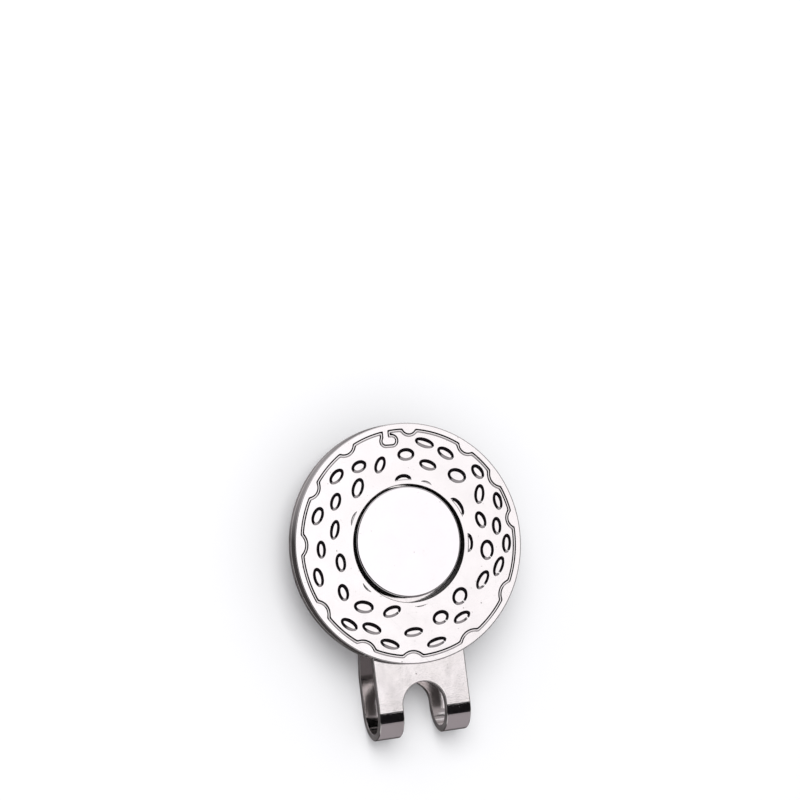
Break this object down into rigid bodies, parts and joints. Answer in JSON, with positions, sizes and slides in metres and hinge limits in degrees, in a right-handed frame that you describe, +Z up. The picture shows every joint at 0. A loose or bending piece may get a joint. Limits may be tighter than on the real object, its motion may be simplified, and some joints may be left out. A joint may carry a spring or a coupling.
{
  "type": "ball marker hat clip",
  "caption": "Magnetic ball-marker holder: a dimpled metal disc with a round magnet on a sprung steel clip that grips the brim of a cap.",
  "frame": {"origin": "on the table that the holder lies on, under the middle of its bounding box", "axes": "+Z up, out of the disc's face; +Y from the bends towards the top of the disc; +X across the strip, to the right as seen from the front"},
  "size_m": [0.03, 0.039, 0.0078],
  "materials": {
    "nickel_casting": "bright nickel plate on a die casting, fine tumbling marks",
    "nickel_magnet": "bright nickel plate, lapped smooth",
    "nickel_strip": "bright nickel plate on cold-rolled steel, faint rolling lines",
    "solder": "dull tin solder",
    "adhesive": "dark cured adhesive"
  },
  "bodies": {
    "tongue": {"grip_tongue": "nickel_strip", "left_bend": "nickel_strip", "right_bend": "nickel_strip"},
    "holder": {"dimple_disc": "nickel_casting", "magnet": "nickel_magnet", "magnet_glue": "adhesive", "disc_solder": "solder", "clip_plate": "nickel_strip"}
  },
  "joints": [
    {"name": "clip_spring", "type": "hinge", "parent": "tongue", "child": "holder", "pos_m": [0, -0.0181, 0.0031], "axis": [1, 0, 0], "range_deg": [0, 10], "stiffness_Nm_per_rad": 1.5, "deforming": ["left_bend", "right_bend"]}
  ]
}
